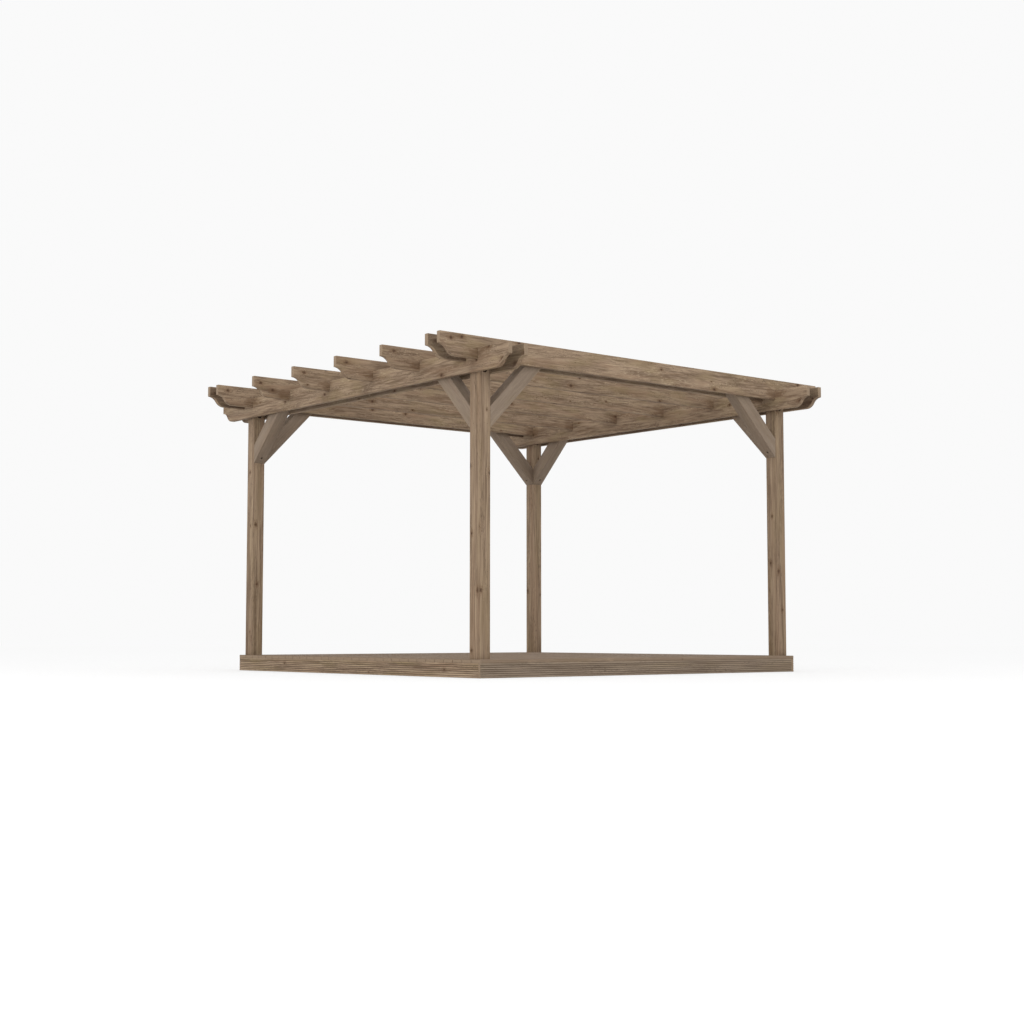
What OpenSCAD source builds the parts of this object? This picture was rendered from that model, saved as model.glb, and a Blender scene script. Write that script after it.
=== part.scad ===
/* [Posts] */
// Width and depth of a post
post_w = 120; // [90:5:160]
// Distance between post centres along the rafters
bay_x = 3585; // [2400:5:4800]
// Distance between post centres along the beams
bay_y = 3590; // [2700:5:4800]
// How far the post tops stop below the tops of the rafters
post_top_drop = 15; // [5:5:60]

/* [Roof timbers] */
// Thickness of every beam and rafter
timber_t = 42; // [35:1:60]
// Height of every beam and rafter
timber_h = 188; // [150:1:230]
// How far a beam runs past the posts' outer faces
beam_overhang = 430; // [300:1:600]
// How far a rafter runs past the posts' outer faces
rafter_overhang = 428; // [300:1:600]
// Height of the beams' lower edges above the ground
beam_z = 2478; // [2000:1:3000]
// Depth of the shaped cut under each timber end
end_cut_h = 92; // [60:1:110]
// Length of the shaped cut under each timber end
end_cut_run = 165; // [120:5:200]
// Spacing of the single rafters, which stand between the end pairs
rafter_pitch = 700; // [400:10:740]

/* [Cross joints] */
// Depth of the notch in a rafter, and of the one in the beam below it
notch_depth = 46; // [30:1:60]
// Clearance on each side of a notch
notch_gap = 0.5; // [0.2:0.1:1]

/* [Braces] */
// Depth of a brace, square to its length
brace_depth = 125; // [90:5:150]
// How far a brace's lower corner lies below the beams
brace_drop = 448; // [350:1:600]
// How far an end brace stops below the tops of the rafters beside it
brace_top_drop = 60; // [40:5:100]

/* [Deck] */
// Thickness of the deck boards
board_t = 30; // [22:1:35]
// Thickness of the fascia boards
fascia_t = 28; // [22:1:35]
// Height of the fascia boards and the joists
fascia_h = 120; // [100:5:180]
// Space between the posts and the front and back fascias
fascia_gap = 33; // [5:1:60]
// Clearance between the deck boards and a post
post_gap = 3; // [1:1:8]
// Thickness of a joist
joist_t = 45; // [35:1:60]

/* [Hidden] */

// What a cut runs past the faces that it opens
past = 1;

// Places of the posts' centres and faces, from the middle of the plan
half_post = post_w / 2;
post_x = bay_x / 2;
post_y = bay_y / 2;
post_outer_x = post_x + half_post;
post_inner_x = post_x - half_post;
post_outer_y = post_y + half_post;
post_inner_y = post_y - half_post;

// Levels of the roof
beam_top = beam_z + timber_h;
notch_floor = beam_top - notch_depth;
rafter_z = notch_floor - notch_depth;
rafter_top = rafter_z + timber_h;
brace_foot_z = beam_z - brace_drop;

// Lengths of the roof timbers, from nose to nose
beam_len = 2 * (post_outer_y + beam_overhang);
rafter_len = 2 * (post_outer_x + rafter_overhang);

// Middle of each beam in x, and of each rafter in y
outer_beam_x = post_outer_x + timber_t / 2;
inner_beam_x = post_inner_x - timber_t / 2;
beam_xs = [-outer_beam_x, -inner_beam_x, inner_beam_x, outer_beam_x];
outer_rafter_y = post_outer_y + timber_t / 2;
inner_rafter_y = post_inner_y - timber_t / 2;
// The single rafters are set out to their back faces, evenly about the middle
single_count = 4;
function single_y(i) = (i - (single_count + 1) / 2) * rafter_pitch - timber_t / 2;
rafter_ys = [
  -outer_rafter_y, -inner_rafter_y,
  for (i = [1 : single_count]) single_y(i),
  inner_rafter_y, outer_rafter_y
];

// Outline and levels of the deck
deck_x = post_outer_x + fascia_t;
deck_y = post_outer_y + fascia_gap + fascia_t;
joist_count = 7;
joist_x = post_inner_x - joist_t / 2;

post_color = [0.52, 0.43, 0.33];
roof_color = [0.50, 0.42, 0.34];
brace_color = [0.53, 0.45, 0.38];
deck_color = [0.47, 0.39, 0.29];

// One post, from the ground to just under the tops of the rafters
module post(side_x, side_y) {
  color(post_color)
    translate([side_x * post_x - half_post, side_y * post_y - half_post, 0])
      cube([post_w, post_w, rafter_top - post_top_drop]);
}

// Lower corner of a timber's end, from the nose at x = 0 to the lower edge: a hollow
// arc that starts level, then a round arc that runs out on the edge
half_run = end_cut_run / 2;
half_cut = end_cut_h / 2;
curve_r = (half_run ^ 2 + half_cut ^ 2) / (2 * half_cut);
curve_angle = atan2(half_run, curve_r - half_cut);
curve_steps = 12;
end_curve = [
  for (i = [0 : curve_steps])
    let (a = curve_angle * i / curve_steps)
      [-curve_r * sin(a), end_cut_h - curve_r * (1 - cos(a))],
  for (i = [1 : curve_steps])
    let (a = curve_angle * (1 - i / curve_steps))
      [-end_cut_run + curve_r * sin(a), curve_r * (1 - cos(a))]
];

// Side outline of a roof timber, with its lower edge on y = 0
module timber_outline(length) {
  last = len(end_curve) - 1;
  polygon([
    [-length / 2, timber_h],
    [length / 2, timber_h],
    for (p = end_curve) [length / 2 + p.x, p.y],
    for (i = [0 : last]) [-length / 2 - end_curve[last - i].x, end_curve[last - i].y]
  ]);
}

// One beam, notched from above for every rafter
module beam(x) {
  color(roof_color)
    difference() {
      translate([x - timber_t / 2, 0, beam_z])
        rotate([90, 0, 90])
          linear_extrude(timber_t)
            timber_outline(beam_len);
      for (y = rafter_ys)
        translate([x - timber_t, y - timber_t / 2 - notch_gap, notch_floor])
          cube([2 * timber_t, timber_t + 2 * notch_gap, notch_depth + past]);
    }
}

// One rafter, notched from below over every beam
module rafter(y) {
  color(roof_color)
    difference() {
      translate([0, y + timber_t / 2, rafter_z])
        rotate([90, 0, 0])
          linear_extrude(timber_t)
            timber_outline(rafter_len);
      for (x = beam_xs)
        translate([x - timber_t / 2 - notch_gap, y - timber_t, rafter_z - past])
          cube([timber_t + 2 * notch_gap, 2 * timber_t, notch_depth + past]);
    }
}

// Side outline of a brace that rises at 45 degrees from a post's face on x = 0,
// towards +x where side is 1 and towards -x where it is -1
module brace_outline(side, top_z) {
  upright_cut = brace_depth * sqrt(2);
  rise = top_z - brace_foot_z;
  polygon([
    [0, brace_foot_z],
    [side * rise, top_z],
    [side * (rise - upright_cut), top_z],
    [0, brace_foot_z + upright_cut]
  ]);
}

// A brace along the beams, from a post up between its two beams
module side_brace(side_x, side_y) {
  color(brace_color)
    translate([side_x * post_x - half_post, side_y * post_inner_y, 0])
      rotate([90, 0, 90])
        linear_extrude(post_w)
          brace_outline(-side_y, rafter_z);
}

// A brace along the rafters, from a post up between its two rafters
module end_brace(side_x, side_y) {
  color(brace_color)
    translate([side_x * post_inner_x, side_y * post_y + half_post, 0])
      rotate([90, 0, 0])
        linear_extrude(post_w)
          brace_outline(-side_x, rafter_top - brace_top_drop);
}

// A fascia board along x, at the front (-1) or the back (1) of the deck. Each fascia
// covers the end of the one before it, round the four corners
module end_fascia(side) {
  color(deck_color)
    translate([side < 0 ? -deck_x : fascia_t - deck_x, side < 0 ? -deck_y : deck_y - fascia_t, 0])
      cube([2 * deck_x - fascia_t, fascia_t, fascia_h]);
}

// A fascia board along y, on the left (-1) or the right (1) of the deck
module side_fascia(side) {
  color(deck_color)
    translate([side < 0 ? -deck_x : deck_x - fascia_t, side < 0 ? fascia_t - deck_y : -deck_y, 0])
      cube([fascia_t, 2 * deck_y - fascia_t, fascia_h]);
}

// The layer of deck boards, cut out round the posts
module deck_boards() {
  hole_w = post_w + 2 * post_gap;
  color(deck_color)
    difference() {
      translate([-deck_x, -deck_y, fascia_h])
        cube([2 * deck_x, 2 * deck_y, board_t]);
      for (side_x = [-1, 1], side_y = [-1, 1])
        translate([side_x * post_x - hole_w / 2, side_y * post_y - hole_w / 2, fascia_h - past])
          cube([hole_w, hole_w, board_t + 2 * past]);
    }
}

// One joist, from the front fascia to the back one. The first and last lie against
// the posts' inner faces
module joist(i) {
  x = joist_x * (2 * (i - 1) / (joist_count - 1) - 1);
  color(deck_color)
    translate([x - joist_t / 2, fascia_t - deck_y, 0])
      cube([joist_t, 2 * (deck_y - fascia_t), fascia_h]);
}

post(-1, -1);  // post_front_left
post(1, -1);  // post_front_right
post(-1, 1);  // post_back_left
post(1, 1);  // post_back_right
beam(-outer_beam_x);  // beam_left_outer
beam(-inner_beam_x);  // beam_left_inner
beam(inner_beam_x);  // beam_right_inner
beam(outer_beam_x);  // beam_right_outer
rafter(-outer_rafter_y);  // rafter_front_outer
rafter(-inner_rafter_y);  // rafter_front_inner
rafter(single_y(1));  // rafter_single_1
rafter(single_y(2));  // rafter_single_2
rafter(single_y(3));  // rafter_single_3
rafter(single_y(4));  // rafter_single_4
rafter(inner_rafter_y);  // rafter_back_inner
rafter(outer_rafter_y);  // rafter_back_outer
side_brace(-1, -1);  // side_brace_front_left
side_brace(1, -1);  // side_brace_front_right
side_brace(-1, 1);  // side_brace_back_left
side_brace(1, 1);  // side_brace_back_right
end_brace(-1, -1);  // end_brace_front_left
end_brace(1, -1);  // end_brace_front_right
end_brace(-1, 1);  // end_brace_back_left
end_brace(1, 1);  // end_brace_back_right
end_fascia(-1);  // fascia_front
side_fascia(1);  // fascia_right
end_fascia(1);  // fascia_back
side_fascia(-1);  // fascia_left
deck_boards();
joist(1);  // joist_1
joist(2);  // joist_2
joist(3);  // joist_3
joist(4);  // joist_4
joist(5);  // joist_5
joist(6);  // joist_6
joist(7);  // joist_7
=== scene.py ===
import math
import random
import bpy
from mathutils import Matrix, Vector


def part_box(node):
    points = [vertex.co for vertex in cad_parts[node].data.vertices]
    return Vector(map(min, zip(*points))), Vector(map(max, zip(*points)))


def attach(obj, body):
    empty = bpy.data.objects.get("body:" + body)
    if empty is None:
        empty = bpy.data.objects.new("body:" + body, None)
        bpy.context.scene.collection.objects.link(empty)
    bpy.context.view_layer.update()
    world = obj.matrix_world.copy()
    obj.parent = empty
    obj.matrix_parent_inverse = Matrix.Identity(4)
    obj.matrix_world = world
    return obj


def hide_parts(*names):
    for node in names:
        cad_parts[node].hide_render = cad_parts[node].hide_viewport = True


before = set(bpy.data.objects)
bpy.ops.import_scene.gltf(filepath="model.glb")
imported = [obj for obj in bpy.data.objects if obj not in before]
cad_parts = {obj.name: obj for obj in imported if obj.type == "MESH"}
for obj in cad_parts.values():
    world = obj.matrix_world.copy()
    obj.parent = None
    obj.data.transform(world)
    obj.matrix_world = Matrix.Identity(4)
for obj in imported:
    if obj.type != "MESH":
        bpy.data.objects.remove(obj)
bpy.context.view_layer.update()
nodeNames = sorted(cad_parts)
alongX, alongY, alongZ = Vector((1, 0, 0)), Vector((0, 1, 0)), Vector((0, 0, 1))
smoothAngle = math.radians(35)  # edges sharper than this are rounded, and stay crisp in the shading
flatAngle = math.radians(0.5)  # faces that meet flatter than this become one
near, tiny = 1e-4, 1e-5  # metres within which points count as level, in the frame and in a new piece
print("frame loaded:", len(nodeNames), "nodes")


# ---- small helpers, used by every piece

def deselect():
    if bpy.context.object and bpy.context.object.mode != "OBJECT":
        bpy.ops.object.mode_set(mode="OBJECT")
    bpy.ops.object.select_all(action="DESELECT")


def pick(*pieces):
    deselect()
    for piece in pieces:
        piece.select_set(True)
    bpy.context.view_layer.objects.active = pieces[0]


def pieceName(node):
    first, *rest = node.split("_")
    return first + "".join(word.capitalize() for word in rest)


def addBlock(name, low, high):
    low, high = Vector(low), Vector(high)
    deselect()
    bpy.ops.mesh.primitive_cube_add(size=1, location=(low + high) / 2, scale=high - low)
    bpy.ops.object.transform_apply(location=True, rotation=True, scale=True)
    block = bpy.context.object
    block.name = name
    return block


def addRod(name, radius, start, end, sides):
    start, end = Vector(start), Vector(end)
    turn = (end - start).to_track_quat("Z", "Y").to_euler()
    deselect()
    bpy.ops.mesh.primitive_cylinder_add(vertices=sides, radius=radius, depth=(end - start).length,
                                        location=(start + end) / 2, rotation=turn)
    bpy.ops.object.transform_apply(location=True, rotation=True, scale=True)
    rod = bpy.context.object
    rod.name = name
    return rod


def join(name, pieces):
    pick(*pieces)
    bpy.ops.object.join()
    joined = bpy.context.object
    joined.name = name
    return joined


def duplicate(piece, name, place):
    pick(piece)
    bpy.ops.object.duplicate(linked=False)
    copy = bpy.context.object
    copy.name = name
    copy.location = place
    bpy.ops.object.transform_apply(location=True, rotation=True, scale=True)
    return copy


def selectFaces(piece, wanted):
    bpy.ops.object.mode_set(mode="EDIT")
    bpy.ops.mesh.select_mode(type="FACE")
    bpy.ops.mesh.select_all(action="DESELECT")
    bpy.ops.object.mode_set(mode="OBJECT")
    for face in piece.data.polygons:
        face.select = wanted(face)
    bpy.ops.object.mode_set(mode="EDIT")


def selectPoints(piece, wanted):
    bpy.ops.object.mode_set(mode="EDIT")
    bpy.ops.mesh.select_mode(type="VERT")
    bpy.ops.mesh.select_all(action="DESELECT")
    bpy.ops.object.mode_set(mode="OBJECT")
    for point in piece.data.vertices:
        point.select = wanted(point)
    bpy.ops.object.mode_set(mode="EDIT")


def cutAway(piece, cutter):
    pick(piece)
    bpy.ops.object.modifier_add(type="BOOLEAN")
    cut = piece.modifiers[-1]
    cut.operation, cut.solver, cut.object = "DIFFERENCE", "EXACT", cutter
    bpy.ops.object.modifier_apply(modifier=cut.name)


def dropPieces(*pieces):
    pick(*pieces)
    bpy.ops.object.delete()


def boreHole(piece, width, start, end, sides):
    rod = addRod("bore", width / 2, start, end, sides)
    cutAway(piece, rod)
    dropPieces(rod)


def softenEdges(piece, width, segments=2):
    pick(piece)
    bpy.ops.object.modifier_add(type="BEVEL")
    bevel = piece.modifiers[-1]
    bevel.width, bevel.segments = width, segments
    bevel.limit_method, bevel.angle_limit = "ANGLE", smoothAngle
    bpy.ops.object.modifier_apply(modifier=bevel.name)
    bpy.ops.object.shade_smooth_by_angle(angle=smoothAngle)


# ---- grain: where a board's fibres run, kept on the piece itself

grain = {"seed": 21, "drift": 40.0, "faceStep": 0.731, "sunk": 0.0015, "edge": 0.004,
         "boreArea": 0.002, "square": 0.97, "sloped": 0.1, "sideCut": 0.5}
grainDraw = random.Random(grain["seed"])


def layGrain(piece, length, face, pith=(0.03, 0.05), ribbed=False, bored=False, shadeFacing=None):
    # grainPlace is metres along, across and through the board from its heart, and grainFace is
    # the same flattened on each side, for what lies on one face, such as knots. fromMiddle is
    # metres from the board's middle, with the face's own number. The marks attribute says worn edge,
    # end grain with painted light on the sides of ribbed boards, and painted shade in a groove, a bore
    # and on the side that faces a paired timber.
    length, face = length.normalized(), face.normalized()
    side = length.cross(face)
    drift = grainDraw.uniform(0, grain["drift"])
    heart = Vector((0, grainDraw.uniform(-1, 1) * pith[0], grainDraw.uniform(-1, 1) * pith[1]))
    mesh = piece.data
    low = Vector(map(min, *(v.co for v in mesh.vertices)))
    high = Vector(map(max, *(v.co for v in mesh.vertices)))
    middle = (low + high) / 2
    turned = [Vector(((v.co - middle).dot(length), (v.co - middle).dot(side),
                      (v.co - middle).dot(face))) for v in mesh.vertices]
    crown = max(p.z for p in turned) - grain["sunk"]
    edge = max(p.y for p in turned) - grain["edge"]
    skin = max(p.z for p in turned) - grain["edge"]
    place = mesh.attributes.new("grainPlace", "FLOAT_VECTOR", "POINT")
    place.data.foreach_set("vector", [x for p in turned for x in p + heart + Vector((drift, 0, 0))])
    mesh.uv_layers.new(name="grainFace")
    mesh.attributes.new("boardMarks", "FLOAT_VECTOR", "CORNER")
    mesh.attributes.new("fromMiddle", "FLOAT_VECTOR", "CORNER")
    flat = mesh.uv_layers["grainFace"]
    marks, spots = mesh.attributes["boardMarks"], mesh.attributes["fromMiddle"]
    for polygon in mesh.polygons:
        facing = [polygon.normal.dot(length), polygon.normal.dot(side), polygon.normal.dot(face)]
        sizes = [abs(x) for x in facing]
        lead = 0 if sizes[0] > grain["square"] else 1 if sizes[1] > sizes[2] else 2
        across = 1 if lead == 2 else 2
        alongAxis = 1 if lead == 0 else 0
        step = grain["faceStep"] * (2 * lead + (facing[lead] > 0))
        worn = 1.0 if grain["sloped"] < sizes[2] < grain["square"] else 0.0
        # painted light: the long sides of ribbed boards take half of the lighter end colour
        sideLit = grain["sideCut"] if ribbed and sizes[1] > grain["square"] else 0.0
        cut = 1.0 if lead == 0 else sideLit
        centre = sum((turned[i] for i in polygon.vertices), Vector()) / len(polygon.vertices)
        inside = abs(centre.y) < edge
        groove = ribbed and inside and facing[2] > -grain["sloped"] and lead > 0
        bore = bored and inside and abs(centre.z) < skin and polygon.area < grain["boreArea"]
        shadedFace = bore or (shadeFacing and polygon.normal.dot(shadeFacing) > grain["square"])
        for corner in polygon.loop_indices:
            point = turned[mesh.loops[corner].vertex_index]
            # sunk says where shade is painted: the floor of a groove, a bore's wall and a face towards a
            # paired timber
            sunk = 1.0 if shadedFace or (groove and point.z < crown) else 0.0
            flat.data[corner].uv = (point[alongAxis] + drift, point[across] + step + drift * 3)
            marks.data[corner].vector = (worn, cut, sunk)
            spots.data[corner].vector = (point[alongAxis], point[across], drift + step)


def standFor(piece, node, material):
    pick(piece)
    piece.data.materials.clear()
    piece.data.materials.append(material)
    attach(piece, "root")
    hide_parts(node)


# ---- shader helpers

def addNode(tree, kind, **settings):
    node = tree.nodes.new(kind)
    for name, value in settings.items():
        if name == "inputs":
            for key, number in value.items():
                node.inputs[key].default_value = number
        else:
            setattr(node, name, value)
    return node


def calc(tree, operation, a, b=None, clamp=False):
    node = addNode(tree, "ShaderNodeMath", operation=operation, use_clamp=clamp)
    for socket, value in zip(node.inputs, (a, b)):
        if isinstance(value, (int, float)):
            socket.default_value = value
        elif value is not None:
            tree.links.new(value, socket)
    return node.outputs[0]


def vecCalc(tree, operation, a, b):
    node = addNode(tree, "ShaderNodeVectorMath", operation=operation)
    for socket, value in zip(node.inputs, (a, b)):
        if isinstance(value, (tuple, list)):
            socket.default_value = value
        else:
            tree.links.new(value, socket)
    return node.outputs["Value" if operation == "LENGTH" else "Vector"]


def attribute(tree, name):
    return addNode(tree, "ShaderNodeAttribute", attribute_name=name).outputs["Vector"]


def partsOf(tree, vector):
    parts = addNode(tree, "ShaderNodeSeparateXYZ")
    tree.links.new(vector, parts.inputs[0])
    return parts.outputs


def drawFor(tree, number):
    # one draw between 0 and 1 for a whole face
    own = addNode(tree, "ShaderNodeTexWhiteNoise", noise_dimensions="1D")
    tree.links.new(number, own.inputs["W"])
    return own.outputs["Value"]


def lengthOf(tree, vector):
    return vecCalc(tree, "LENGTH", vector, (0, 0, 0))


def noise(tree, place, scale, detail=2.0, roughness=0.5):
    stretched = vecCalc(tree, "MULTIPLY", place, scale)
    node = addNode(tree, "ShaderNodeTexNoise", inputs={
        "Scale": 1.0, "Detail": detail, "Roughness": roughness})
    tree.links.new(stretched, node.inputs["Vector"])
    return node.outputs["Fac"]


def spread(tree, value, low, high, newLow=0.0, newHigh=1.0, smooth=False):
    node = addNode(tree, "ShaderNodeMapRange", inputs={
        "From Min": low, "From Max": high, "To Min": newLow, "To Max": newHigh})
    if smooth:
        node.interpolation_type = "SMOOTHSTEP"
    tree.links.new(value, node.inputs["Value"])
    return node.outputs["Result"]


def blendColours(tree, share, a, b):
    node = addNode(tree, "ShaderNodeMix", data_type="RGBA")
    tree.links.new(share, node.inputs["Factor"])
    for key, value in ((6, a), (7, b)):  # the colour sockets, which share their names with others
        if isinstance(value, (tuple, list)):
            node.inputs[key].default_value = (*value, 1)
        else:
            tree.links.new(value, node.inputs[key])
    return node.outputs[2]


def newGroup(name, inputs, outputs):
    tree = bpy.data.node_groups.new(name, "ShaderNodeTree")
    for way, sockets in (("INPUT", inputs), ("OUTPUT", outputs)):
        for label, kind in sockets.items():
            tree.interface.new_socket(name=label, in_out=way, socket_type="NodeSocket" + kind)
    return tree, tree.nodes.new("NodeGroupInput"), tree.nodes.new("NodeGroupOutput")


def srgb(r, g, b):
    def linear(x):
        x /= 255
        return x / 12.92 if x <= 0.04045 else ((x + 0.055) / 1.055) ** 2.4
    return tuple(linear(x) for x in (r, g, b))


# ---- what all the timber shares: knots, then growth rings, streaks, fibres and cracks

# Core, rim, halo and push each run from one distance to another, in knot radii from its heart.
# Stretch draws a knot out along the board, and sizes are shares of the size asked for.
knotForm = {"stretch": (0.8, 1, 0), "haloStretch": (0.5, 1, 0), "uneven": (0.75, 1.3),
            "core": (0.55, 1.05), "rimInside": (0.75, 1.0), "rimOutside": (1.05, 1.4),
            "halo": (0.6, 3.0), "push": (0.3, 4.5), "mostPush": 0.95, "least": 0.001,
            "bumps": (70, 90, 1), "scatter": 0.8, "sizes": (0.4, 1.35), "none": 0.0001}
noiseMiddle = (0.3, 0.7)  # where most of a noise lies


def makeKnotShape():
    # Away is metres from the knot's heart. Push bends the fibres round the knot.
    tree, ins, outs = newGroup(
        "knotShape", {"Away": "Vector", "Size": "Float", "Wobble": "Float"},
        {"Knot": "Float", "Rim": "Float", "Halo": "Float", "Push": "Float"})
    away, size, wobble = (ins.outputs[name] for name in ("Away", "Size", "Wobble"))
    distance = lengthOf(tree, vecCalc(tree, "MULTIPLY", away, knotForm["stretch"]))
    drawn = lengthOf(tree, vecCalc(tree, "MULTIPLY", away, knotForm["haloStretch"]))
    uneven = spread(tree, wobble, *noiseMiddle, *knotForm["uneven"])
    reach = calc(tree, "DIVIDE", calc(tree, "MULTIPLY", distance, uneven), size)
    far = calc(tree, "DIVIDE", calc(tree, "MULTIPLY", drawn, uneven), size)
    knot = spread(tree, reach, *knotForm["core"], 1, 0, smooth=True)
    rim = calc(tree, "MULTIPLY", spread(tree, reach, *knotForm["rimInside"], 0, 1, smooth=True),
               spread(tree, reach, *knotForm["rimOutside"], 1, 0, smooth=True))
    halo = spread(tree, far, *knotForm["halo"], 1, 0, smooth=True)
    aside = calc(tree, "DIVIDE", partsOf(tree, away)["Y"],
                 calc(tree, "MAXIMUM", distance, knotForm["least"]))
    push = calc(tree, "MULTIPLY", calc(tree, "MULTIPLY", aside, size),
                spread(tree, far, *knotForm["push"], knotForm["mostPush"], 0, smooth=True))
    for name, value in (("Knot", knot), ("Rim", rim), ("Halo", halo), ("Push", push)):
        tree.links.new(value, outs.inputs[name])
    return tree


def makeKnotFinder():
    # the nearest of many knots strewn over a face
    tree, ins, outs = newGroup(
        "knotFinder", {"Face": "Vector", "Spacing": "Vector", "Size": "Float", "Share": "Float"},
        {"Away": "Vector", "Size": "Float"})
    cells = vecCalc(tree, "DIVIDE", ins.outputs["Face"], ins.outputs["Spacing"])
    finder = addNode(tree, "ShaderNodeTexVoronoi", voronoi_dimensions="2D",
                     inputs={"Scale": 1.0, "Randomness": knotForm["scatter"]})
    tree.links.new(cells, finder.inputs["Vector"])
    away = vecCalc(tree, "SUBTRACT", cells, finder.outputs["Position"])
    metres = vecCalc(tree, "MULTIPLY", away, ins.outputs["Spacing"])
    draw = addNode(tree, "ShaderNodeSeparateColor")
    tree.links.new(finder.outputs["Color"], draw.inputs[0])
    there = calc(tree, "LESS_THAN", draw.outputs[0], ins.outputs["Share"])
    size = calc(tree, "MULTIPLY", ins.outputs["Size"],
                spread(tree, draw.outputs[1], 0, 1, *knotForm["sizes"]))
    size = calc(tree, "MAXIMUM", calc(tree, "MULTIPLY", size, there), knotForm["none"])
    tree.links.new(metres, outs.inputs["Away"])
    tree.links.new(size, outs.inputs["Size"])
    return tree


# how many to a metre of each kind of mark, along, across and through a board
often = {"bends": (0.8, 2.5, 2.5), "wobbles": (1.5, 9, 9), "broad": (2.0, 20, 20),
         "middling": (5.0, 62, 62), "fine": (12, 190, 190), "fibres": (7, 620, 620),
         "patches": (2.6, 9, 9), "warmth": (1.6, 14, 14), "cracks": (1.4, 240, 240),
         "cracked": (1.0, 5, 5), "flecks": (24, 130, 130), "flecked": (2.4, 12, 12),
         "pores": (55, 150, 150), "pored": (3.4, 15, 15)}
# between which values of its noise a mark comes in, or for fibres goes out
shown = {"warmth": (0.5, 0.68), "patches": (0.5, 0.68), "fibres": (0.35, 0.6),
         "cracks": (0.66, 0.73), "cracked": (0.45, 0.6), "flecks": (0.54, 0.66),
         "flecked": (0.5, 0.62), "pores": (0.56, 0.66), "pored": (0.5, 0.64)}
streaked = {"broad": 0.34, "middling": 0.42, "fine": 0.24}  # what each noise adds to the streaks
# a year's growth darkens from one share of its width to the other, then falls back
ringForm = {"dark": 0.2, "end": 0.84, "wobble": 1.6, "warmthShift": (7.3, 2.1, 5.7)}


def marksWithin(tree, place, mark, area, detail=1, roughness=0.5):
    # small marks, which come only in the areas that a second noise picks
    small = spread(tree, noise(tree, place, often[mark], detail, roughness), *shown[mark])
    large = spread(tree, noise(tree, place, often[area], 1), *shown[area])
    return calc(tree, "MULTIPLY", small, large)


def makeGrainGroup():
    marks = ("Rings", "Streaks", "Fibres", "Patches", "Warmth", "Cracks", "Flecks", "Pores")
    tree, ins, outs = newGroup(
        "timberGrain", {"Place": "Vector", "Ring": "Float", "Wander": "Float", "Push": "Float"},
        {mark: "Float" for mark in marks})
    shove = addNode(tree, "ShaderNodeVectorMath", operation="SCALE")
    shove.inputs[0].default_value = (0, 1, 1)
    tree.links.new(ins.outputs["Push"], shove.inputs["Scale"])
    pushed = vecCalc(tree, "SUBTRACT", ins.outputs["Place"], shove.outputs[0])
    drift = addNode(tree, "ShaderNodeTexNoise", inputs={"Scale": 1.0, "Detail": 1.0})
    tree.links.new(vecCalc(tree, "MULTIPLY", pushed, often["bends"]), drift.inputs["Vector"])
    centred = vecCalc(tree, "SUBTRACT", drift.outputs["Color"], (0.5, 0.5, 0.5))
    bend = addNode(tree, "ShaderNodeVectorMath", operation="SCALE")
    tree.links.new(centred, bend.inputs[0])
    tree.links.new(ins.outputs["Wander"], bend.inputs["Scale"])
    place = vecCalc(tree, "ADD", pushed, vecCalc(tree, "MULTIPLY", bend.outputs[0], (0, 1, 1)))
    radius = lengthOf(tree, vecCalc(tree, "MULTIPLY", place, (0, 1, 1)))
    count = calc(tree, "DIVIDE", radius, ins.outputs["Ring"])
    wobble = calc(tree, "MULTIPLY", noise(tree, place, often["wobbles"]), ringForm["wobble"])
    year = calc(tree, "FRACT", calc(tree, "ADD", count, wobble))
    late = spread(tree, year, ringForm["dark"], ringForm["end"], 0, 1, smooth=True)
    fall = spread(tree, year, ringForm["end"], 1.0, 1, 0, smooth=True)
    rings = calc(tree, "MULTIPLY", late, fall)
    broad = noise(tree, place, often["broad"], 2, 0.55)
    middling = noise(tree, place, often["middling"], 2, 0.6)
    fine = noise(tree, place, often["fine"], 2, 0.6)
    streaks = calc(tree, "ADD", calc(tree, "MULTIPLY", broad, streaked["broad"]),
                   calc(tree, "MULTIPLY", middling, streaked["middling"]))
    streaks = calc(tree, "ADD", streaks, calc(tree, "MULTIPLY", fine, streaked["fine"]))
    fibres = noise(tree, place, often["fibres"], 2, 0.7)
    patches = noise(tree, place, often["patches"], 2, 0.55)
    warmth = noise(tree, vecCalc(tree, "ADD", place, ringForm["warmthShift"]), often["warmth"])
    cracks = marksWithin(tree, place, "cracks", "cracked")
    flecks = marksWithin(tree, place, "flecks", "flecked", 2, 0.6)
    pores = marksWithin(tree, place, "pores", "pored")
    for mark, value in zip(marks, (rings, streaks, fibres, patches, warmth, cracks, flecks, pores)):
        tree.links.new(value, outs.inputs[mark])
    return tree


knotShape, knotFinder, grainGroup = makeKnotShape(), makeKnotFinder(), makeGrainGroup()


def addKnots(tree, face, away, size):
    knots = addNode(tree, "ShaderNodeGroup", node_tree=knotShape)
    tree.links.new(away, knots.inputs["Away"])
    tree.links.new(noise(tree, face, knotForm["bumps"], 1), knots.inputs["Wobble"])
    if isinstance(size, float):
        knots.inputs["Size"].default_value = size
    else:
        tree.links.new(size, knots.inputs["Size"])
    return knots.outputs


def strewKnots(tree, face, spacing, size, share):
    finder = addNode(tree, "ShaderNodeGroup", node_tree=knotFinder, inputs={
        "Spacing": spacing, "Size": size, "Share": share})
    tree.links.new(face, finder.inputs["Face"])
    return addKnots(tree, face, finder.outputs["Away"], finder.outputs["Size"])


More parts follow.
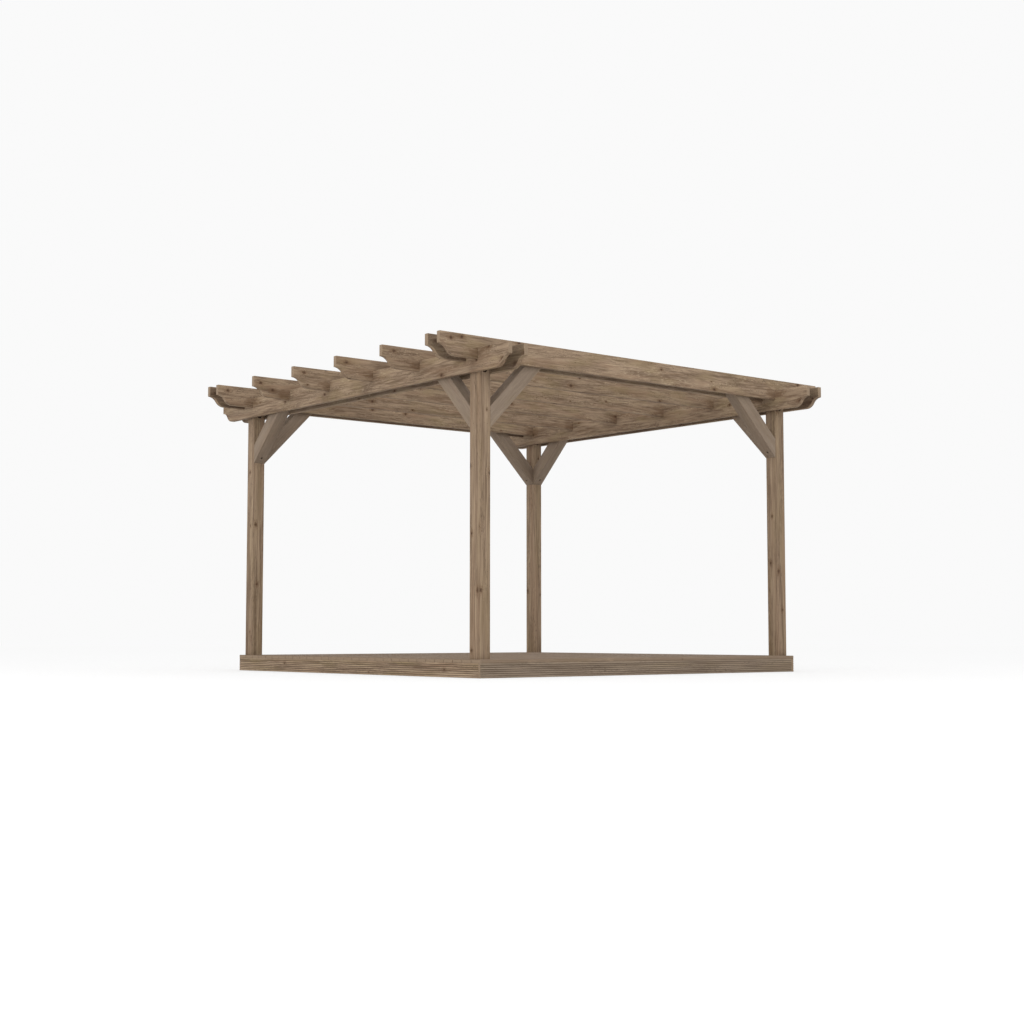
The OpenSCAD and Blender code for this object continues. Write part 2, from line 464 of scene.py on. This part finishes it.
def fromSpot(tree, spot):
    # metres from a spot that lies at a set distance from the middle, towards each end
    along, across, faceNumber = partsOf(tree, attribute(tree, "fromMiddle"))
    own, scatter = drawFor(tree, faceNumber), spot["scatter"]
    along = calc(tree, "SUBTRACT", calc(tree, "ABSOLUTE", along), spot["place"][0])
    along = calc(tree, "ADD", along, spread(tree, own, 0, 1, -scatter, scatter))
    across = calc(tree, "SUBTRACT", across, spot["place"][1])
    across = calc(tree, "ADD", across, spread(tree, own, 0, 1, scatter / 3, -scatter / 3))
    away = addNode(tree, "ShaderNodeCombineXYZ")
    tree.links.new(along, away.inputs["X"])
    tree.links.new(across, away.inputs["Y"])
    return away.outputs[0]


paintedShadeForm = {"often": (14, 40, 1), "ragged": 0.6, "fade": (0.3, 1.2)}


def paintShadeSpot(tree, face, shadeSpot):
    # a soft patch of painted shade with a ragged edge
    spot = vecCalc(tree, "DIVIDE", fromSpot(tree, shadeSpot), shadeSpot["size"])
    ragged = spread(tree, noise(tree, face, paintedShadeForm["often"], 3), *noiseMiddle,
                    paintedShadeForm["ragged"], -paintedShadeForm["ragged"])
    away = calc(tree, "ADD", lengthOf(tree, spot), ragged)
    return spread(tree, away, *paintedShadeForm["fade"], shadeSpot["share"], 0, smooth=True)


# how much each mark counts in the relief, and the height of the whole in metres
relieved = {"rings": 0.5, "fibres": 0.9, "knots": 0.8, "cracks": 1.4, "height": 0.0012}


def makeTimber(name, look):
    material = bpy.data.materials.new(name)
    material.use_nodes = True
    tree = material.node_tree
    tree.nodes.clear()
    out = addNode(tree, "ShaderNodeOutputMaterial")
    shader = addNode(tree, "ShaderNodeBsdfPrincipled")
    shader.inputs["Specular IOR Level"].default_value = look["gloss"]
    tree.links.new(shader.outputs[0], out.inputs[0])
    place = vecCalc(tree, "MULTIPLY", attribute(tree, "grainPlace"), (1 / look["stretch"], 1, 1))
    face = addNode(tree, "ShaderNodeUVMap", uv_map="grainFace").outputs["UV"]
    worn, endOrLitSide, sunk = partsOf(tree, attribute(tree, "boardMarks"))
    onSide = calc(tree, "SUBTRACT", 1.0, endOrLitSide)
    sets = [strewKnots(tree, face, look["knotSpacing"], look["knotSize"], look["knotShare"])]
    if "endKnot" in look:
        sets.append(addKnots(tree, face, fromSpot(tree, look["endKnot"]), look["endKnot"]["size"]))
    knot, rim, halo, push = sets[0]
    for other in sets[1:]:
        knot, rim = calc(tree, "MAXIMUM", knot, other[0]), calc(tree, "MAXIMUM", rim, other[1])
        halo, push = calc(tree, "MAXIMUM", halo, other[2]), calc(tree, "ADD", push, other[3])
    specks = strewKnots(tree, face, look["speckSpacing"], look["speckSize"], look["speckShare"])[0]
    knot, rim, halo, push, specks = (
        calc(tree, "MULTIPLY", mask, onSide) for mask in (knot, rim, halo, push, specks))
    lines = addNode(tree, "ShaderNodeGroup", node_tree=grainGroup, inputs={
        "Ring": look["ring"], "Wander": look["wander"]})
    tree.links.new(place, lines.inputs["Place"])
    tree.links.new(push, lines.inputs["Push"])
    lines = lines.outputs
    own = drawFor(tree, partsOf(tree, attribute(tree, "fromMiddle"))["Z"])
    tone = calc(tree, "ADD", spread(tree, lines["Streaks"], *look["streakRange"]),
                spread(tree, own, 0, 1, -look["toneShare"], look["toneShare"]))
    colour = blendColours(tree, calc(tree, "MINIMUM", tone, 1.0, clamp=True), look["dark"], look["light"])
    end = blendColours(tree, spread(tree, lines["Rings"], 0, 1, 0, look["endRings"]),
                       look["endLight"], look["endDark"])
    # painted shade near where timbers cross, in the knot halo's colour
    stains = [(calc(tree, "MULTIPLY", paintShadeSpot(tree, face, shadeSpot), onSide), look["halo"])
              for shadeSpot in look["stains"]]
    steps = [
        (spread(tree, lines["Warmth"], *shown["warmth"], 0, look["warmShare"]), look["warm"]),
        (spread(tree, lines["Patches"], *shown["patches"], 0, look["oliveShare"]), look["olive"]),
        (spread(tree, lines["Rings"], 0, 1, 0, look["ringShare"]), look["late"]),
        (calc(tree, "MULTIPLY", lines["Flecks"], look["fleckShare"]), look["fleck"]),
        (calc(tree, "MULTIPLY", lines["Pores"], look["poreShare"]), look["crack"]),
        # end grain, and painted light on the sides of ribbed boards
        (endOrLitSide, end),
        *stains,
        (spread(tree, lines["Fibres"], *shown["fibres"], look["fibreShare"], 0), look["late"]),
        (calc(tree, "MULTIPLY", lines["Cracks"], look["crackShare"]), look["crack"]),
        (calc(tree, "MULTIPLY", halo, look["haloShare"]), look["halo"]),
        (calc(tree, "MULTIPLY", rim, look["rimShare"]), look["knot"]),
        (calc(tree, "MULTIPLY", knot, look["knotDepth"]), look["knot"]),
        (calc(tree, "MULTIPLY", specks, look["knotDepth"]), look["knot"]),
        # painted shade in grooves, bores and between paired timbers, in the crack colour
        (calc(tree, "MULTIPLY", sunk, look["sunkShare"]), look["crack"]),
        (calc(tree, "MULTIPLY", worn, look["arrisShare"]), look["arris"])]
    for share, tint in steps:
        colour = blendColours(tree, share, colour, tint)
    tree.links.new(colour, shader.inputs["Base Color"])
    rough = spread(tree, lines["Streaks"], *noiseMiddle, *look["roughness"])
    tree.links.new(rough, shader.inputs["Roughness"])
    relief = calc(tree, "ADD", calc(tree, "MULTIPLY", lines["Rings"], relieved["rings"]),
                  calc(tree, "MULTIPLY", lines["Fibres"], relieved["fibres"]))
    relief = calc(tree, "SUBTRACT", relief, calc(tree, "MULTIPLY", knot, relieved["knots"]))
    relief = calc(tree, "SUBTRACT", relief, calc(tree, "MULTIPLY", lines["Cracks"], relieved["cracks"]))
    bump = addNode(tree, "ShaderNodeBump", inputs={
        "Strength": look["relief"], "Distance": relieved["height"]})
    tree.links.new(relief, bump.inputs["Height"])
    tree.links.new(bump.outputs[0], shader.inputs["Normal"])
    return material


timberLook = {
    "light": srgb(173, 150, 125), "dark": srgb(110, 90, 72), "warm": srgb(149, 120, 95),
    "olive": srgb(148, 130, 94), "late": srgb(100, 80, 62), "fleck": srgb(190, 170, 142),
    "crack": srgb(66, 52, 41), "halo": srgb(106, 80, 57), "knot": srgb(72, 50, 34),
    "arris": srgb(160, 140, 118), "endLight": srgb(158, 138, 116), "endDark": srgb(126, 105, 84),
    "streakRange": (0.4, 0.6), "warmShare": 0.42, "oliveShare": 0.38, "ringShare": 0.3, "poreShare": 0.5,
    "fleckShare": 0.55, "fibreShare": 0.3, "crackShare": 0.6, "haloShare": 0.6, "rimShare": 0.6,
    "knotDepth": 0.92, "sunkShare": 0.5, "arrisShare": 0.2, "knotSpacing": (0.6, 0.15, 1),
    "knotSize": 0.011, "knotShare": 0.55, "speckSpacing": (0.11, 0.035, 1), "speckSize": 0.0028,
    "speckShare": 0.14, "ring": 0.006, "wander": 0.05, "endRings": 0.75, "roughness": (0.86, 0.74),
    "gloss": 0.25, "relief": 0.5, "toneShare": 0.06, "stretch": 1, "stains": []}
postTimber = makeTimber("postTimber", {
    **timberLook, "knotSpacing": (0.5, 0.12, 1), "knotShare": 0.42, "knotDepth": 0.8,
    "stretch": 2.5, "fleckShare": 0.3, "oliveShare": 0.25})
roofTimber = makeTimber("roofTimber", {
    **timberLook, "sunkShare": 0.4,
    "endKnot": {"place": (2.19, 0.042), "size": 0.012, "scatter": 0.03},
    "stains": [  # painted shade where timbers cross, inside and outside
        {"place": (1.66, -0.045), "size": (0.1, 0.06, 1), "share": 0.55, "scatter": 0.02},
        {"place": (1.93, -0.05), "size": (0.11, 0.045, 1), "share": 0.55, "scatter": 0.02}]})
braceTimber = makeTimber("braceTimber", {
    **timberLook, "light": srgb(143, 127, 111), "dark": srgb(129, 113, 97), "ringShare": 0.1,
    "warmShare": 0.12, "oliveShare": 0.08, "fibreShare": 0.12, "knotShare": 0.08, "haloShare": 0.2,
    "fleckShare": 0.1, "crackShare": 0.3, "speckShare": 0.04, "poreShare": 0.1})
plankLook = {
    **timberLook, "knotSpacing": (0.5, 0.15, 1), "knotSize": 0.008, "knotShare": 0.4, "stretch": 2,
    "warmShare": 0.2, "oliveShare": 0.2, "endLight": srgb(152, 132, 110), "endDark": srgb(124, 104, 84)}
deckTimber = makeTimber("deckTimber", {
    **plankLook, "light": srgb(136, 119, 103), "dark": srgb(106, 90, 77)})
greyFascia = makeTimber("greyFascia", {
    **plankLook, "light": srgb(158, 142, 124), "dark": srgb(121, 107, 92), "warmShare": 0.1,
    "fleckShare": 0.25})
warmFascia = makeTimber("warmFascia", {
    **plankLook, "light": srgb(187, 163, 136), "dark": srgb(118, 97, 78), "warmShare": 0.5,
    "oliveShare": 0.6, "streakRange": (0.42, 0.58), "sunkShare": 0.6})
joistTimber = makeTimber("joistTimber", {**timberLook, "relief": 0.9})
print("materials made:", len(bpy.data.materials))


steelForm = {"patches": (90, 90, 90), "rusted": (0.4, 0.62), "dulled": (0.35, 0.65),
             "roughness": (0.42, 0.8)}


def makeSteel(name, look):
    material = bpy.data.materials.new(name)
    material.use_nodes = True
    tree = material.node_tree
    shader = tree.nodes["Principled BSDF"]
    place = addNode(tree, "ShaderNodeTexCoord").outputs["Object"]
    patches = noise(tree, place, steelForm["patches"], 3, 0.6)
    colour = blendColours(tree, spread(tree, patches, *steelForm["rusted"]), look["steel"], look["rust"])
    rough = spread(tree, patches, *steelForm["dulled"], *steelForm["roughness"])
    tree.links.new(colour, shader.inputs["Base Color"])
    tree.links.new(rough, shader.inputs["Roughness"])
    shader.inputs["Metallic"].default_value = look["metal"]
    return material


boltSteel = makeSteel("boltSteel", {
    "steel": srgb(58, 50, 42), "rust": srgb(62, 42, 28), "metal": 0.4})
screwSteel = makeSteel("screwSteel", {
    "steel": srgb(120, 112, 100), "rust": srgb(96, 76, 58), "metal": 0.7})


# ---- posts

post = {"arris": 0.004, "boltDrop": 0.073, "bore": 0.046, "boreDepth": 0.024, "sides": 32,
        "past": 0.01, "pith": (0.05, 0.05)}
bolt = {"washer": 0.030, "washerThick": 0.0025, "washerSides": 24, "head": 0.019,
        "headThick": 0.0075, "headSides": 6, "arris": 0.0012}


def makePosts():
    made = []
    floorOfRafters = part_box("rafter_single_1")[0].z
    for node in nodeNames:
        if not node.startswith("post"):
            continue
        low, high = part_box(node)
        piece = addBlock(pieceName(node), low, high)
        softenEdges(piece, post["arris"])
        x, z = (low.x + high.x) / 2, floorOfRafters - post["boltDrop"]
        for y, inward in ((low.y, 1), (high.y, -1)):
            foot = (x, y + inward * post["boreDepth"], z)
            outside = (x, y - inward * post["past"], z)
            boreHole(piece, post["bore"], outside, foot, post["sides"])
            made.append((foot, -inward))
        layGrain(piece, alongZ, alongY, pith=post["pith"], bored=True)
        standFor(piece, node, postTimber)
    return made


def makeBolt(name, foot, outward):
    foot, outward = Vector(foot), Vector((0, outward, 0))
    onWasher = foot + outward * bolt["washerThick"]
    top = foot + outward * (bolt["washerThick"] + bolt["headThick"])
    washer = addRod("washer", bolt["washer"] / 2, foot, onWasher, bolt["washerSides"])
    head = addRod("head", bolt["head"] / math.sqrt(3), onWasher, top, bolt["headSides"])
    softenEdges(head, bolt["arris"])
    piece = join(name, [washer, head])
    piece.data.materials.clear()
    piece.data.materials.append(boltSteel)
    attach(piece, "root")


boltPlaces = makePosts()
for number, (foot, outward) in enumerate(boltPlaces, 1):
    makeBolt(f"postBolt{number}", foot, outward)
print("posts made, with", len(boltPlaces), "bolts")


# ---- beams and rafters, cross-halved where they meet

roof = {"arris": 0.003, "curveSteps": 12, "slack": 0.0005, "past": 0.01}


def endCut(node, axis):
    # length and depth of the shaped cut under a timber's end, as the frame has them
    points = [v.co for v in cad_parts[node].data.vertices]
    low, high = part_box(node)
    run = high[axis] - max(p[axis] for p in points if p.z < low.z + near)
    depth = min(p.z for p in points if p[axis] > high[axis] - near) - low.z
    return run, depth


def makeRoofTimber(name, node, axis):
    # Half the side outline is drawn flat, then mirrored and given its thickness.
    low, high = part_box(node)
    half, tall, thick = (high[axis] - low[axis]) / 2, high.z - low.z, (high - low)[1 - axis]
    run, depth = endCut(node, axis)
    radius = ((run / 2) ** 2 + (depth / 2) ** 2) / depth
    angle = math.atan2(run / 2, radius - depth / 2)
    start = half - run
    deselect()
    bpy.ops.mesh.primitive_plane_add(size=1, rotation=(math.pi / 2, 0, 0),
                                     location=(start / 2, 0, tall / 2))
    piece = bpy.context.object
    piece.scale = (start, tall, 1)
    bpy.ops.object.transform_apply(location=True, rotation=True, scale=True)
    piece.name = name
    selectPoints(piece, lambda v: v.co.x > start - tiny and v.co.z < tiny)
    bpy.ops.mesh.spin(steps=roof["curveSteps"], angle=angle, center=(start, 0, radius), axis=(0, 1, 0))
    bpy.ops.mesh.spin(steps=roof["curveSteps"], angle=-angle, center=(half, 0, depth - radius),
                      axis=(0, 1, 0))
    bpy.ops.mesh.extrude_region_move(TRANSFORM_OT_translate={"value": (0, 0, tall - depth)})
    selectPoints(piece, lambda v: v.co.x > start - tiny)
    bpy.ops.mesh.edge_face_add()
    bpy.ops.object.mode_set(mode="OBJECT")
    bpy.ops.object.modifier_add(type="MIRROR")
    bpy.ops.object.modifier_apply(modifier=piece.modifiers[-1].name)
    bpy.ops.object.mode_set(mode="EDIT")
    bpy.ops.mesh.select_all(action="SELECT")
    bpy.ops.mesh.dissolve_limited(angle_limit=flatAngle)
    bpy.ops.mesh.extrude_region_move(TRANSFORM_OT_translate={"value": (0, thick, 0)})
    bpy.ops.mesh.select_all(action="SELECT")
    bpy.ops.mesh.normals_make_consistent(inside=False)
    bpy.ops.object.mode_set(mode="OBJECT")
    piece.location = ((low.x + high.x) / 2, (low.y + high.y) / 2, low.z)
    if axis == 0:
        piece.location.y -= thick / 2
    else:
        piece.location.x += thick / 2
        piece.rotation_euler.z = math.pi / 2
    bpy.ops.object.transform_apply(location=True, rotation=True, scale=True)
    softenEdges(piece, roof["arris"])
    return piece


def makeNotches(piece, node, crossing, fromBelow):
    # cut square after the planing, so their edges stay sharp
    low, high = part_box(node)
    slack, past = roof["slack"], roof["past"]
    cutters = []
    for other in crossing:
        otherLow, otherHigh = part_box(other)
        if fromBelow:
            middle = (low.z + otherHigh.z) / 2
            first = (otherLow.x - slack, low.y - past, low.z - past)
            last = (otherHigh.x + slack, high.y + past, middle)
        else:
            middle = (otherLow.z + high.z) / 2
            first = (low.x - past, otherLow.y - slack, middle)
            last = (high.x + past, otherHigh.y + slack, high.z + past)
        cutters.append(addBlock("notch", first, last))
    cutter = join("notches", cutters)
    cutAway(piece, cutter)
    dropPieces(cutter)
    pick(piece)
    bpy.ops.object.shade_smooth_by_angle(angle=smoothAngle)


def towardsPair(node):
    # outer timbers face inwards to their pair, inner ones outwards, and that face gets painted shade
    axis = 0 if node.startswith("beam") else 1
    low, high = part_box(node)
    out = Vector((0, 0, 0))
    out[axis] = math.copysign(1, low[axis] + high[axis])
    return -out if node.endswith("outer") else out if node.endswith("inner") else None


beams = [node for node in nodeNames if node.startswith("beam")]
rafters = [node for node in nodeNames if node.startswith("rafter")]
for node in beams:
    piece = makeRoofTimber(pieceName(node), node, 1)
    makeNotches(piece, node, rafters, False)
    layGrain(piece, alongY, alongX, shadeFacing=towardsPair(node))
    standFor(piece, node, roofTimber)
for node in rafters:
    piece = makeRoofTimber(pieceName(node), node, 0)
    makeNotches(piece, node, beams, True)
    layGrain(piece, alongX, alongY, shadeFacing=towardsPair(node))
    standFor(piece, node, roofTimber)
print("roof timbers made:", len(beams) + len(rafters))


# ---- braces, each sawn at both ends from a straight timber

brace = {"arris": 0.0025, "bore": 0.021, "boreDepth": 0.035, "past": 0.03, "footRise": 0.05,
         "sides": 20, "spare": 3, "pith": (0.04, 0.04)}  # spare is timber before sawing, in rises


def sawOff(piece, place, outward):
    pick(piece)
    bpy.ops.object.mode_set(mode="EDIT")
    bpy.ops.mesh.select_all(action="SELECT")
    bpy.ops.mesh.bisect(plane_co=place, plane_no=outward, use_fill=True, clear_outer=True)
    bpy.ops.object.mode_set(mode="OBJECT")


def makeBrace(name, node, axis):
    low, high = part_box(node)
    points = [v.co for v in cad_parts[node].data.vertices]
    foot = min(points, key=lambda p: p.z)
    lean = 1 if foot[axis] - low[axis] < high[axis] - foot[axis] else -1
    uprightCut = max(p.z for p in points if abs(p[axis] - foot[axis]) < near) - low.z
    rise = high.z - low.z
    run = Vector((0, 0, 0))
    run[axis] = lean
    length = (run + alongZ).normalized()
    upper = length.cross(run.cross(alongZ)).normalized()
    onPost = (low + high) / 2
    onPost[axis], onPost.z = foot[axis], low.z + uprightCut / 2
    wide = (high - low)[1 - axis]
    deselect()
    bpy.ops.mesh.primitive_cube_add(size=1)
    piece = bpy.context.object
    piece.name = name
    piece.scale = (rise * brace["spare"], wide, uprightCut / math.sqrt(2))
    turn = Matrix((length, upper.cross(length), upper)).transposed()
    piece.rotation_euler = turn.to_euler()
    piece.location = onPost
    bpy.ops.object.transform_apply(location=True, rotation=True, scale=True)
    sawOff(piece, onPost, -run)
    sawOff(piece, high, alongZ)
    softenEdges(piece, brace["arris"])
    # a screw, sunk level into the post through the underside of the foot
    place = foot.copy()
    place[1 - axis] = onPost[1 - axis]
    place.z += brace["footRise"]
    place += run * brace["footRise"]
    bottom = place - run * brace["boreDepth"]
    boreHole(piece, brace["bore"], place + run * brace["past"], bottom, brace["sides"])
    layGrain(piece, length, upper, pith=brace["pith"], bored=True)
    standFor(piece, node, braceTimber)
    return bottom, run


screw = {"head": 0.0085, "thick": 0.0016, "sink": 0.0005, "socket": 0.0042, "taper": 0.7, "apart": 2,
         "sides": 12, "inBrace": 1.5}  # apart is in ribs, and inBrace is how much larger those are


def makeScrewHead(name):
    # stands on the origin, pointing up
    piece = addRod(name, screw["head"] / 2, (0, 0, -screw["thick"]), (0, 0, 0), screw["sides"])
    selectFaces(piece, lambda f: f.normal.z > 1 - tiny)
    bpy.ops.mesh.inset(thickness=(screw["head"] - screw["socket"]) / 2, depth=0)
    bpy.ops.mesh.extrude_region_move(TRANSFORM_OT_translate={"value": (0, 0, -screw["thick"] / 2)})
    bpy.ops.transform.resize(value=(screw["taper"], screw["taper"], 1))
    bpy.ops.object.mode_set(mode="OBJECT")
    piece.data.materials.append(screwSteel)
    return piece


braceScrews = []
for node in nodeNames:
    if "brace" in node:
        bottom, outward = makeBrace(pieceName(node), node, 1 if node.startswith("side") else 0)
        head = makeScrewHead("braceScrew")
        head.scale = (screw["inBrace"],) * 3
        head.rotation_euler = outward.to_track_quat("Z", "Y").to_euler()
        head.location = bottom + outward * screw["thick"] * screw["inBrace"]
        bpy.ops.object.transform_apply(location=True, rotation=True, scale=True)
        braceScrews.append(head)
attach(join("braceScrews", braceScrews), "root")
print("braces made, with", len(braceScrews), "screws")


# ---- deck: joists, ribbed boards and ribbed fascias

deck = {"boards": 31, "width": 0.120, "ribs": 7, "groove": 0.0065, "grooveDepth": 0.0035,
        "edge": 0.003, "arris": 0.0012, "postGap": 0.003, "nearPost": 0.25, "joistArris": 0.002,
        "pith": (0.06, 0.05)}


def chamferLongEdges(piece, reach, width):
    bpy.ops.mesh.select_mode(type="EDGE")
    bpy.ops.mesh.select_all(action="DESELECT")
    bpy.ops.object.mode_set(mode="OBJECT")
    points = piece.data.vertices
    for edge in piece.data.edges:
        a, b = (points[i].co for i in edge.vertices)
        edge.select = min(abs(a.y), abs(b.y)) > reach - tiny and abs(a.x - b.x) > reach
    bpy.ops.object.mode_set(mode="EDIT")
    bpy.ops.mesh.bevel(offset=width, segments=1)
    bpy.ops.object.mode_set(mode="OBJECT")


def makeRibbedBoard(name, length, width, thick):
    # the end section is cut to its ribs, then drawn out along x
    deselect()
    bpy.ops.mesh.primitive_plane_add(size=1, rotation=(0, math.pi / 2, 0), location=(-length / 2, 0, 0))
    piece = bpy.context.object
    piece.name = name
    piece.scale = (thick, width, 1)
    bpy.ops.object.transform_apply(location=True, rotation=True, scale=True)
    pitch, floor = width / deck["ribs"], thick / 2 - deck["grooveDepth"]
    middles = [(i + 1) * pitch - width / 2 for i in range(deck["ribs"] - 1)]
    bpy.ops.object.mode_set(mode="EDIT")
    for middle in middles:
        for side in (-1, 1):
            bpy.ops.mesh.select_all(action="SELECT")
            bpy.ops.mesh.bisect(plane_co=(0, middle + side * deck["groove"] / 2, 0), plane_no=(0, 1, 0))
    bpy.ops.mesh.select_all(action="SELECT")
    bpy.ops.mesh.bisect(plane_co=(0, 0, floor), plane_no=(0, 0, 1))
    selectFaces(piece, lambda f: f.center.z > floor
                and any(abs(f.center.y - middle) < deck["groove"] / 2 for middle in middles))
    bpy.ops.mesh.delete(type="FACE")
    bpy.ops.mesh.select_all(action="SELECT")
    bpy.ops.mesh.dissolve_limited(angle_limit=flatAngle)
    bpy.ops.mesh.extrude_region_move(TRANSFORM_OT_translate={"value": (length, 0, 0)})
    bpy.ops.mesh.select_all(action="SELECT")
    bpy.ops.mesh.normals_make_consistent(inside=False)
    chamferLongEdges(piece, width / 2, deck["edge"])
    softenEdges(piece, deck["arris"], segments=1)
    return piece


def putBoard(piece, middle, length, face):
    turn = Matrix((length, face.cross(length), face)).transposed()
    pick(piece)
    piece.rotation_euler = turn.to_euler()
    piece.location = middle
    bpy.ops.object.transform_apply(location=True, rotation=True, scale=True)


def makeDeckBoards():
    low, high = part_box("deck_boards")
    middle, size = (low + high) / 2, high - low
    pitch = (size.y - deck["width"]) / (deck["boards"] - 1)
    pattern = makeRibbedBoard("pattern", size.x, deck["width"], size.z)
    gap = Vector((deck["postGap"], deck["postGap"], 0))
    cutters = []
    for node in nodeNames:
        if node.startswith("post"):
            postLow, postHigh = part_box(node)
            cutters.append(addBlock("postHole", postLow - gap, postHigh + gap))
    boards = []
    for number in range(deck["boards"]):
        y = low.y + deck["width"] / 2 + number * pitch
        board = duplicate(pattern, "board", (middle.x, y, middle.z))
        for cutter in cutters:  # only the boards near a post are cut for it
            if abs(cutter.data.vertices[0].co.y - y) < deck["nearPost"]:
                cutAway(board, cutter)
        layGrain(board, alongX, alongZ, pith=deck["pith"], ribbed=True)
        boards.append(board)
    dropPieces(pattern, *cutters)
    standFor(join("deckBoards", boards), "deck_boards", deckTimber)
    return pitch


def makeFascias():
    for node, outward in (("fascia_front", -alongY), ("fascia_back", alongY),
                          ("fascia_left", -alongX), ("fascia_right", alongX)):
        low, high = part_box(node)
        size = high - low
        length = alongX if abs(outward.y) > 0 else alongY
        thick = min(size.x, size.y)
        board = makeRibbedBoard(pieceName(node), max(size.x, size.y), size.z, thick)
        putBoard(board, (low + high) / 2, length, outward)
        layGrain(board, length, outward, pith=deck["pith"], ribbed=True)
        standFor(board, node, warmFascia if length == alongY else greyFascia)


def makeJoists():
    for node in nodeNames:
        if node.startswith("joist"):
            piece = addBlock(pieceName(node), *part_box(node))
            softenEdges(piece, deck["joistArris"])
            layGrain(piece, alongY, alongX)
            standFor(piece, node, joistTimber)


boardPitch = makeDeckBoards()
makeFascias()
makeJoists()
print("deck made:", deck["boards"], "boards")


# ---- screws that hold the boards to the joists

def makeDeckScrews():
    low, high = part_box("deck_boards")
    joists = [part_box(node) for node in nodeNames if node.startswith("joist")]
    middles = sorted((a.x + b.x) / 2 for a, b in joists)
    rib = deck["width"] / deck["ribs"]
    head = makeScrewHead("deckScrews")
    first = low.y + deck["width"] / 2
    aside = screw["apart"] * rib
    pair = [duplicate(head, "head", (middles[0], first + side * aside, high.z - screw["sink"]))
            for side in (-1, 1)]
    dropPieces(head)
    screws = join("deckScrews", pair)
    for count, step in ((deck["boards"], (0, boardPitch, 0)),
                        (len(middles), (middles[1] - middles[0], 0, 0))):
        pick(screws)
        bpy.ops.object.modifier_add(type="ARRAY")
        row = screws.modifiers[-1]
        row.use_relative_offset, row.use_constant_offset = False, True
        row.count, row.constant_offset_displace = count, step
        bpy.ops.object.modifier_apply(modifier=row.name)
    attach(screws, "root")
    return len(pair) * deck["boards"] * len(middles)


print("screws made:", makeDeckScrews())


# ---- floor, light and camera

stage = {"floorSize": 120, "backdrop": 0.955, "glow": 0.35, "fadeFrom": 16.0, "fadeTo": 45.0,
         "whiteAt": (-9.8, -12.0, 0), "whiteFrom": 8.0, "whiteTo": 24.0, "white": 0.86,
         "bounce": 0.7, "dome": 1.15}  # whiteAt is under the camera
softboxes = {"leftLight": {"place": (-20, -5, 8), "power": 630},
             "frontLight": {"place": (2, -20, 7), "power": 240}}
softbox = {"size": 10, "target": (0, 0, 1.4)}
view = {"place": (-9.78393, -11.99216, 0.34952), "heading": 50.7651, "tilt": 4.3780, "lens": 56.2295,
        "sensor": 36, "farthest": 300}


def cameraShare(tree):
    paths = addNode(tree, "ShaderNodeLightPath").outputs
    seen = calc(tree, "ADD", paths["Is Camera Ray"], paths["Is Glossy Ray"], clamp=True)
    return calc(tree, "ADD", seen, paths["Is Transmission Ray"], clamp=True)


def makeFloor():
    # white in front of the object, as the backdrop behind it, and with no shadow far out
    deselect()
    bpy.ops.mesh.primitive_plane_add(size=stage["floorSize"])
    floor = bpy.context.object
    floor.name = "floor"
    material = bpy.data.materials.new("floorWhite")
    material.use_nodes = True
    tree = material.node_tree
    tree.nodes.clear()
    out = addNode(tree, "ShaderNodeOutputMaterial")
    plain = addNode(tree, "ShaderNodeBsdfDiffuse")
    glow = addNode(tree, "ShaderNodeEmission")
    mix = addNode(tree, "ShaderNodeMixShader")
    place = addNode(tree, "ShaderNodeTexCoord").outputs["Object"]
    away = spread(tree, lengthOf(tree, place), stage["fadeFrom"], stage["fadeTo"], smooth=True)
    behind = lengthOf(tree, vecCalc(tree, "SUBTRACT", place, stage["whiteAt"]))
    behind = spread(tree, behind, stage["whiteFrom"], stage["whiteTo"], 1, stage["backdrop"], smooth=True)
    seen = cameraShare(tree)
    tree.links.new(behind, glow.inputs["Strength"])
    white = calc(tree, "MULTIPLY", behind, stage["white"])
    tree.links.new(blendColours(tree, seen, (stage["bounce"],) * 3, white), plain.inputs["Color"])
    share = spread(tree, away, 0, 1, stage["glow"], 1)
    tree.links.new(calc(tree, "MULTIPLY", seen, share), mix.inputs[0])
    tree.links.new(plain.outputs[0], mix.inputs[1])
    tree.links.new(glow.outputs[0], mix.inputs[2])
    tree.links.new(mix.outputs[0], out.inputs[0])
    floor.data.materials.append(material)


def makeWorld():
    world = bpy.data.worlds.new("studio")
    bpy.context.scene.world = world
    world.use_nodes = True
    tree = world.node_tree
    background = tree.nodes["Background"]
    seen = cameraShare(tree)
    backdrop, dome = stage["backdrop"], stage["dome"]
    tree.links.new(blendColours(tree, seen, (dome,) * 3, (backdrop,) * 3), background.inputs["Color"])


def addSoftbox(name, place, power):
    lamp = bpy.data.lights.new(name, "AREA")
    lamp.shape, lamp.size, lamp.energy = "SQUARE", softbox["size"], power
    holder = bpy.data.objects.new(name, lamp)
    bpy.context.scene.collection.objects.link(holder)
    holder.location = place
    aim = Vector(softbox["target"]) - Vector(place)
    holder.rotation_euler = aim.to_track_quat("-Z", "Y").to_euler()


def addCamera():
    camera = bpy.data.objects.new("camera", bpy.data.cameras.new("camera"))
    bpy.context.scene.collection.objects.link(camera)
    camera.location = view["place"]
    camera.rotation_euler = (math.radians(90 + view["tilt"]), 0, math.radians(view["heading"] - 90))
    camera.data.lens, camera.data.sensor_width = view["lens"], view["sensor"]
    camera.data.clip_end = view["farthest"]
    bpy.context.scene.camera = camera


makeFloor()
makeWorld()
for name, settings in softboxes.items():
    addSoftbox(name, settings["place"], settings["power"])
addCamera()
bpy.context.scene.view_settings.view_transform = "Standard"
print("floor, light and camera made")
